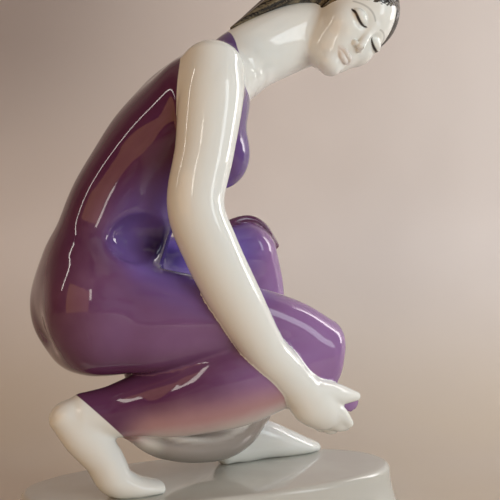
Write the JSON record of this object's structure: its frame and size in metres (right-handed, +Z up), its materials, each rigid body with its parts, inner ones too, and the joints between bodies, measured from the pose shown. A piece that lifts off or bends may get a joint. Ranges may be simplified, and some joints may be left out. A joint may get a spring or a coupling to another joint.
{
  "type": "porcelain figurine",
  "caption": "Glazed porcelain figurine of a crouching girl in a long sleeveless dress, one knee drawn up and one arm reaching down, on a low oval base.",
  "frame": {"origin": "centre of the base's length on its flat underside", "axes": "+Z up, +X the way the girl faces along the base, +Y her left side"},
  "size_m": [0.19, 0.1146, 0.2686],
  "materials": {
    "white_glaze": "glossy glaze; painted dress and hair are colour only"
  },
  "bodies": {
    "root": {"figurine": "white_glaze"}
  },
  "joints": []
}
